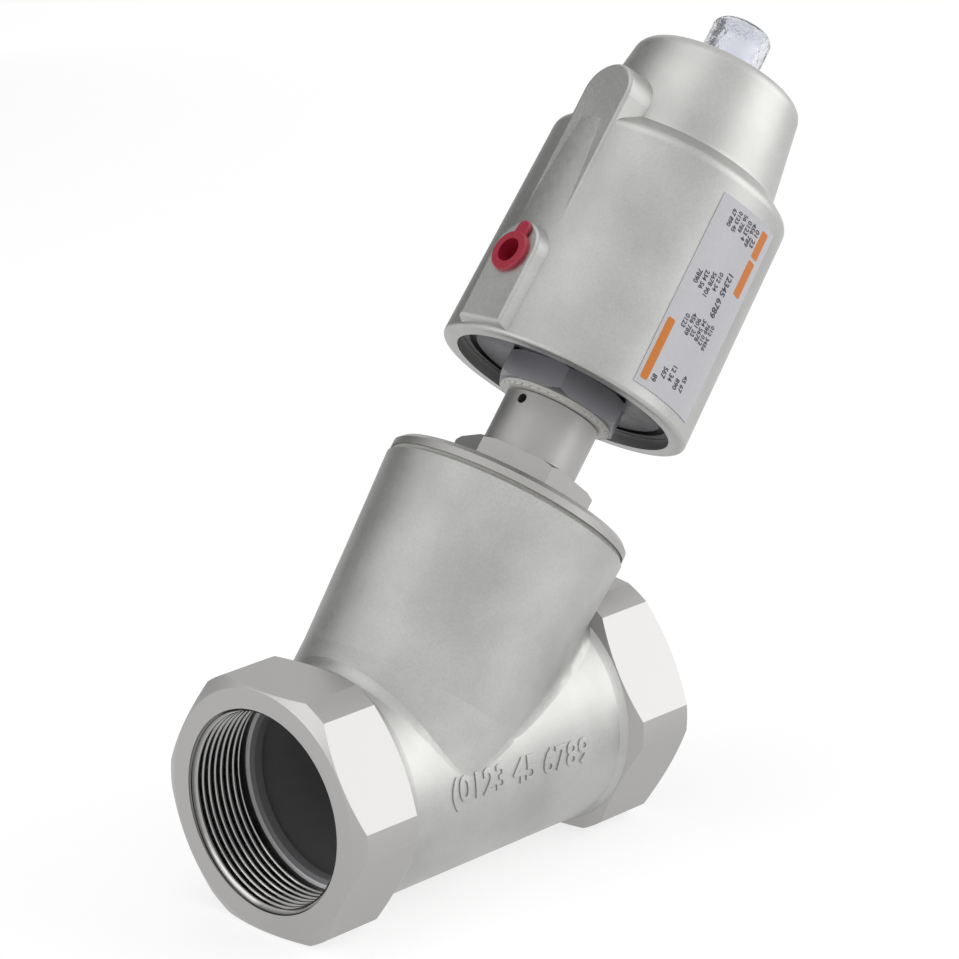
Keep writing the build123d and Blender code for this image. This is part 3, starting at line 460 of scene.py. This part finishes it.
def flat_text(words, height, thickness, bevel=0.0, bold=0.0):
    """Plain numerals as a closed mesh lying in XY, their foot at the origin; bold thickens the strokes."""
    curve = bpy.data.curves.new("numerals", "FONT")
    curve.body = words
    curve.size = height / DIGIT_SHARE
    curve.extrude = thickness / 2
    curve.bevel_depth = bevel
    curve.bevel_resolution = 1
    curve.resolution_u = 3
    curve.offset = bold
    holder = bpy.data.objects.new("numerals", curve)
    bpy.context.scene.collection.objects.link(holder)
    bpy.context.view_layer.update()
    mesh = bpy.data.meshes.new_from_object(holder.evaluated_get(bpy.context.evaluated_depsgraph_get()))
    bpy.data.objects.remove(holder)
    bpy.data.curves.remove(curve)
    return mesh


def vertices_of(mesh):
    co = np.empty(len(mesh.vertices) * 3)
    mesh.vertices.foreach_get("co", co)
    return co.reshape(-1, 3)


def join(meshes, name):
    """One mesh from several, with no shared corners."""
    joined = bmesh.new()
    for mesh in meshes:
        joined.from_mesh(mesh)
        bpy.data.meshes.remove(mesh)
    bmesh.ops.remove_doubles(joined, verts=joined.verts, dist=1e-7)
    result = bpy.data.meshes.new(name)
    joined.to_mesh(result)
    joined.free()
    return result


def label_wall(station):
    """Outside radius of the label: the drafted housing wall, a straight line in station, plus the film."""
    share = (station - WALL_FOOT_STATION) / WALL_HEIGHT
    return WALL_FOOT_RADIUS - WALL_DRAFT * share + FILM_THICKNESS


def onto_label(flat):
    """Bends flat artwork onto the label: x runs down from its top edge, y round it, z off the film."""
    station = PRINT_TOP - flat[:, 0]
    angle = PRINT_EDGE + flat[:, 1] / PRINT_RADIUS
    radius = label_wall(station) + flat[:, 2]
    return (STEM_FOOT + np.outer(radius * np.cos(angle), ACROSS)
            + np.outer(radius * np.sin(angle), SIDEWAYS) + np.outer(station, ALONG))


def flat_bar(left, right, low, high, thickness):
    """Slab with rounded corners: an outline of four quarter circles, filled by rings from its middle and
    closed below."""
    half = (high - low) / 2
    corner = min(half, 0.6 * MM)
    ends = np.concatenate([np.linspace(0, math.pi / 2, 5) + k * math.pi / 2 for k in range(4)])
    cx = np.repeat([right - corner, left + corner, left + corner, right - corner], 5)
    cy = np.repeat([high - corner, high - corner, low + corner, low + corner], 5)
    outline = np.stack([cx + corner * np.cos(ends), cy + corner * np.sin(ends)], 1)
    centre = np.array([(left + right) / 2, (low + high) / 2])
    shares = np.array([0.0, 0.5, 1.0])
    inner = centre + (outline[None] - centre) * shares[:, None, None]
    top = np.dstack([inner, np.full(inner.shape[:2], thickness)])
    under = np.dstack([inner[::-1], np.zeros(inner.shape[:2])])
    return grid_mesh("bar", np.concatenate([top, under]), False, True)


# rows of plain numerals on the label: text, x from the top edge, y round from the first edge, height, in mm
LABEL_ROWS = (
    ("01 23", 2.0, 15.2, 1.9), ("456 789", 1.2, 12.9, 1.7), ("0123 4", 1.6, 10.6, 1.7),
    ("56 789", 1.0, 8.2, 1.5), ("0123 45", 1.2, 5.9, 1.5), ("67 890", 1.6, 3.6, 1.5),
    ("12345 6789", 17.4, 12.6, 2.3), ("012 34", 19.4, 9.2, 1.6), ("5678 901", 20.6, 6.8, 1.6),
    ("234 56", 21.4, 4.2, 1.6), ("7890", 22.4, 1.8, 1.6),
    ("012 3456", 33.4, 15.6, 1.6), ("789 012", 33.8, 13.4, 1.6), ("34 5678", 33.6, 11.2, 1.6),
    ("901 23", 34.4, 9.0, 1.6), ("456 789", 34.0, 6.8, 1.6), ("0123", 35.4, 4.6, 1.6),
    ("45 67", 50.4, 14.2, 1.7), ("890", 52.6, 11.6, 1.7), ("12 34", 49.8, 8.6, 1.7), ("567", 52.0, 5.8, 1.7),
    ("89", 55.6, 3.4, 1.7),
)
ORANGE_BARS = ((0.8, 9.4, 18.2, 22.0), (10.4, 21.8, 18.2, 22.0), (39.2, 58.8, -0.2, 2.4))


class VALVE_OT_castings(bpy.types.Operator):
    """Blasted finish for the body and the actuator housing"""
    bl_idname = "valve.castings"
    bl_label = "Cast body and housing"

    def execute(self, context):
        colour = colours().casting
        dress(blasted_casting("blasted_stainless_body", colour, hexagon_faces, body_inside), "valve_body")
        dress(blasted_casting("blasted_stainless_housing", colour, housing_mouth), "actuator_housing")
        return {"FINISHED"}


class VALVE_OT_turned_parts(bpy.types.Operator):
    """Turned, blackened and spring steels, and the aluminium piston"""
    bl_idname = "valve.turned_parts"
    bl_label = "Turned parts"

    def execute(self, context):
        dress(turned_steel("turned_stainless", colours().turned), "stem", "valve_disc", "seal_washer",
              "disc_nut", "gland_nut", "piston_nut", "piston_washer", "spring_seat")
        # the bonnet and the base plate come off the lathe with a coarser feed, so they shine less; their
        # colours are also darkened as painted shade, a little on the bonnet by the nut and much on the base
        # plate inside the housing's mouth
        dress(turned_steel("coarsely_turned_bonnet_painted_shade", "A9A8A7", 0.44), "bonnet")
        dress(turned_steel("coarsely_turned_base_plate_painted_shade", "424145", 0.42), "base_plate")
        # blackened steel: dark, with soft reflections
        dress(turned_steel("blackened_steel_nut", colours().nut, 0.5), "actuator_nut")
        # drawn spring wire, lightly oiled
        dress(mottled_material("drawn_spring_steel", "6E6C6C", 0.33, 1.5 * MM, metallic=1.0),
              "disc_springs", "neck_snap_ring", "base_circlip", "return_spring")
        # turned aluminium alloy: paler and softer than the steel
        dress(turned_steel("turned_aluminium_piston", "C6C8CB", 0.34), "piston")
        return {"FINISHED"}


class VALVE_OT_seals(bpy.types.Operator):
    """Packings, seals, guides and the slip ring"""
    bl_idname = "valve.seals"
    bl_label = "Seals and guides"

    def execute(self, context):
        # virgin PTFE: waxy white, softly clouded
        dress(mottled_material("turned_white_ptfe", "E6E5E0", 0.42, 3 * MM, mottle=0.02),
              "seat_seal", "packing_rings", "slip_ring")
        # carbon-filled PTFE: warm dark grey, waxy, with a fine fleck
        dress(mottled_material("carbon_filled_ptfe", "5B554C", 0.5, 0.8 * MM, mottle=0.1),
              "stem_guide", "upper_bush", "piston_guide", "packing_support")
        # compressed fibre sheet: dull, with short fibres drawn at 0.8 mm so that they show
        dress(mottled_material("fibre_gasket_sheet", "BDBDB8", 0.8, 0.8 * MM, mottle=0.08, relief=0.3),
              "bonnet_gasket")
        # moulded nitrile rubber: black with a dull sheen
        dress(mottled_material("moulded_nitrile_rubber", "232324", 0.55, 1.2 * MM),
              "air_seal_ring", "neck_seal_ring", "base_seal_ring", "cap_seal", "piston_seal")
        return {"FINISHED"}


class VALVE_OT_plastics(bpy.types.Operator):
    """Clear cap, indicator rod and transport plug"""
    bl_idname = "valve.plastics"
    bl_label = "Plastic parts"

    def execute(self, context):
        dress(clear_polycarbonate(), "indicator_cap")
        # moulded acetal, glossy red
        dress(mottled_material("moulded_red_acetal", "B5261F", 0.3, 4 * MM, mottle=0.03), "indicator_rod")
        # dip-moulded soft vinyl: saturated red with a soft gloss and slight sink marks
        vinyl = mottled_material("soft_red_vinyl", colours().plug, 0.34, 2.5 * MM, mottle=0.05,
                                 Coat_Weight=0.2)
        dress(vinyl, "air_port_plug")
        return {"FINISHED"}


class VALVE_OT_threads(bpy.types.Operator):
    """Pipe threads in both sockets"""
    bl_idname = "valve.threads"
    bl_label = "Socket threads"

    def execute(self, context):
        steel = cut_thread()
        for name, start, way in (("inlet_thread", 0.0, 1), ("outlet_thread", FACE_TO_FACE, -1)):
            add_piece(name, thread_sleeve(start, way), "valve", steel)
        return {"FINISHED"}


class VALVE_OT_label(bpy.types.Operator):
    """Label film with plain numerals and orange bars"""
    bl_idname = "valve.label"
    bl_label = "Label and its print"

    def execute(self, context):
        lift = sizes().print_height
        # silver polyester film: satin, with a faint orange-peel
        film = mottled_material("silver_polyester_film", colours().label, 0.34, 1.5 * MM, mottle=0.02,
                                relief=0.05)
        dress(film, "data_label")
        rows = []
        for words, x, y, height in LABEL_ROWS:
            mesh = flat_text(words, height * MM, lift, bold=height * PRINT_BOLD * MM)
            co = vertices_of(mesh)
            co[:, 0] = co[:, 0] * PRINT_NARROWING + x * MM
            co[:, 1] += y * MM
            co[:, 2] += lift
            mesh.vertices.foreach_set("co", onto_label(co).ravel())
            rows.append(mesh)
        # screen ink: flat, slightly thin in places
        ink = mottled_material("screen_printed_dark_ink", colours().dark_ink, 0.5, 0.6 * MM, mottle=0.08)
        numerals = join(rows, "label_numerals")
        add_piece("label_numerals", numerals, "actuator_head", ink, smooth=False)
        bars = []
        for left, right, low, high in ORANGE_BARS:
            mesh = flat_bar(left * MM, right * MM, low * MM, high * MM, lift)
            mesh.vertices.foreach_set("co", onto_label(vertices_of(mesh)).ravel())
            bars.append(mesh)
        orange = mottled_material("screen_printed_orange_ink", colours().orange_ink, 0.45, 0.6 * MM,
                                  mottle=0.04)
        add_piece("label_bars", join(bars, "label_bars"), "actuator_head", orange, smooth=False)
        return {"FINISHED"}


class VALVE_OT_numerals(bpy.types.Operator):
    """Raised plain numerals on the front of the cast pipe"""
    bl_idname = "valve.numerals"
    bl_label = "Cast numerals"

    def execute(self, context):
        s = sizes()
        rounding = 0.12 * MM
        mesh = flat_text("(0123 45 6789", s.numeral_height, 0.3 * MM, rounding, bold=0.12 * MM)
        # cuts across the strokes every 1 mm let them bend with the pipe
        cut = bmesh.new()
        cut.from_mesh(mesh)
        for level in np.arange(-2.0, 9.0, 1.0) * MM:
            everything = cut.verts[:] + cut.edges[:] + cut.faces[:]
            bmesh.ops.bisect_plane(cut, geom=everything, plane_co=(0, level, 0), plane_no=(0, 1, 0))
        cut.to_mesh(mesh)
        cut.free()
        co = vertices_of(mesh)
        width = co[:, 0].max() - co[:, 0].min()
        x = NUMERAL_START + (co[:, 0] - co[:, 0].min()) * (NUMERAL_RUN / width)
        angle = (co[:, 1] - NUMERAL_DROP - (x - NUMERAL_LEVEL) * NUMERAL_FALL) / s.pipe_radius
        radius = s.pipe_radius + rounding + co[:, 2]
        mesh.vertices.foreach_set(
            "co", np.stack([x, -radius * np.cos(angle), radius * np.sin(angle)], 1).ravel())
        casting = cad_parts["valve_body"].data.materials[0]
        add_piece("cast_numerals", mesh, "valve", casting, smooth=False)
        return {"FINISHED"}


class VALVE_OT_stage(bpy.types.Operator):
    """Pale floor, soft lamps, white surroundings and the camera"""
    bl_idname = "valve.stage"
    bl_label = "Stage"

    def execute(self, context):
        add_floor()
        add_surroundings()
        add_flag()
        add_lamps()
        add_camera()
        return {"FINISHED"}


def add_card(name, corners, material):
    """One flat sheet of the stage, from its four corners."""
    mesh = bpy.data.meshes.new(name)
    mesh.from_pydata(corners, [], [(0, 1, 2, 3)])
    mesh.materials.append(material)
    card = bpy.data.objects.new(name, mesh)
    bpy.context.scene.collection.objects.link(card)
    return card


def add_floor():
    """Plain pale floor. To the camera, and in reflections, a glow adds to its lit level, so that it is white
    but keeps the shadow."""
    half = 4.0
    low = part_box("valve_body")[0].z - 0.2 * MM
    material, tree, output, _ = new_material("pale_floor")
    diffuse = add_node(tree, "ShaderNodeBsdfDiffuse", {"Color": (0.45, 0.45, 0.45, 1.0)})
    glow = add_node(tree, "ShaderNodeEmission", {"Color": (1.0, 1.0, 1.0, 1.0), "Strength": 0.70})
    glowing = add_node(tree, "ShaderNodeAddShader", {0: diffuse.outputs[0], 1: glow.outputs[0]})
    shader = add_node(tree, "ShaderNodeMixShader", {
        0: seen_directly(tree), 1: diffuse.outputs[0], 2: glowing.outputs[0]})
    tree.links.new(shader.outputs[0], output.inputs["Surface"])
    corners = [(-half, -half, low), (half, -half, low), (half, half, low), (-half, half, low)]
    floor = add_card("floor", corners, material)


def add_surroundings():
    """White to the camera, in reflections and through clear plastic; a calm grey as light."""
    world = bpy.data.worlds.new("studio")
    bpy.context.scene.world = world
    world.use_nodes = True
    tree = world.node_tree
    tree.nodes.clear()
    white = add_node(tree, "ShaderNodeBackground", {"Color": (1.0, 1.0, 1.0, 1.0), "Strength": 1.0})
    calm = add_node(tree, "ShaderNodeBackground", {"Color": (1.0, 1.0, 1.0, 1.0), "Strength": 0.55})
    mixed = add_node(tree, "ShaderNodeMixShader", {
        0: seen_directly(tree), 1: calm.outputs[0], 2: white.outputs[0]})
    add_node(tree, "ShaderNodeOutputWorld", {"Surface": mixed.outputs[0]})


# lamps: name, direction from the valve, distance and side in metres, power in watts
LAMPS = (
    ("key_softbox", (0.70, -0.69, 0.27), 2.2, 2.1, 21.5),
    ("left_softbox", (-0.94, 0.33, 0.16), 2.0, 1.2, 8.5),
    ("top_softbox", (-0.1, 0.1, 1.0), 1.8, 1.2, 4.0),
)


def add_flag():
    """Grey card behind the valve, out of the camera's sight, that darkens the far edge of round surfaces."""
    left, right, behind, top = -0.3, 0.7, 0.95, 1.1
    material, tree, output, _ = new_material("grey_card")
    card = add_node(tree, "ShaderNodeBsdfDiffuse", {"Color": (0.3, 0.3, 0.3, 1.0)})
    tree.links.new(card.outputs[0], output.inputs["Surface"])
    corners = [(left, behind, 0.0), (right, behind, 0.0), (right, behind, top), (left, behind, top)]
    flag = add_card("flag", corners, material)
    flag.visible_camera = False
    flag.visible_shadow = False


def add_lamps():
    """Square softboxes, all turned to a point near the middle of the valve."""
    aim = Vector((0.09, 0.0, 0.06))
    for name, direction, distance, side, power in LAMPS:
        lamp = bpy.data.lights.new(name, "AREA")
        lamp.size = side
        lamp.energy = power
        place = aim + Vector(direction).normalized() * distance
        holder = bpy.data.objects.new(name, lamp)
        turn = (aim - place).to_track_quat("-Z", "Y").to_matrix().to_4x4()
        holder.matrix_world = Matrix.Translation(place) @ turn
        bpy.context.scene.collection.objects.link(holder)


def add_camera():
    """Looks down on the valve from the inlet's end and the -Y side."""
    camera = bpy.data.cameras.new("camera")
    camera.lens = 149.92
    camera.sensor_width = 36.0
    camera.clip_end = 20.0
    holder = bpy.data.objects.new("camera", camera)
    right = (0.690456, -0.723370, -0.002484)
    up = (0.230554, 0.216807, 0.948599)
    back = (-0.685649, -0.655539, 0.316472)
    place = (-0.692816, -0.746012, 0.435762)
    rows = [(*row, at) for row, at in zip(zip(right, up, back), place)]
    holder.matrix_world = Matrix(rows + [(0, 0, 0, 1)])
    bpy.context.scene.collection.objects.link(holder)
    bpy.context.scene.camera = holder


class VALVE_PT_sidebar(bpy.types.Panel):
    """Lists the valve's finishes and pieces"""
    bl_label = "Angle seat valve"
    bl_idname = "VALVE_PT_sidebar"
    bl_space_type = "VIEW_3D"
    bl_region_type = "UI"
    bl_category = "Valve"

    def draw(self, context):
        layout = self.layout
        for group in (context.scene.valve_sizes, context.scene.valve_colours):
            box = layout.box()
            for name in group.__annotations__:
                box.prop(group, name)
        for operator in STEPS:
            layout.operator(operator.bl_idname)


STEPS = (VALVE_OT_castings, VALVE_OT_turned_parts, VALVE_OT_seals, VALVE_OT_plastics, VALVE_OT_threads,
         VALVE_OT_label, VALVE_OT_numerals, VALVE_OT_stage)
CLASSES = (ValveSizes, ValveColours) + STEPS + (VALVE_PT_sidebar,)


def register():
    for cls in CLASSES:
        bpy.utils.register_class(cls)
    bpy.types.Scene.valve_sizes = bpy.props.PointerProperty(type=ValveSizes)
    bpy.types.Scene.valve_colours = bpy.props.PointerProperty(type=ValveColours)


def unregister():
    del bpy.types.Scene.valve_sizes
    del bpy.types.Scene.valve_colours
    for cls in reversed(CLASSES):
        bpy.utils.unregister_class(cls)


def main():
    register()
    for step in STEPS:
        group, name = step.bl_idname.split(".")
        getattr(getattr(bpy.ops, group), name)()
    bpy.context.scene.view_settings.view_transform = "Standard"


if __name__ == "__main__":
    main()
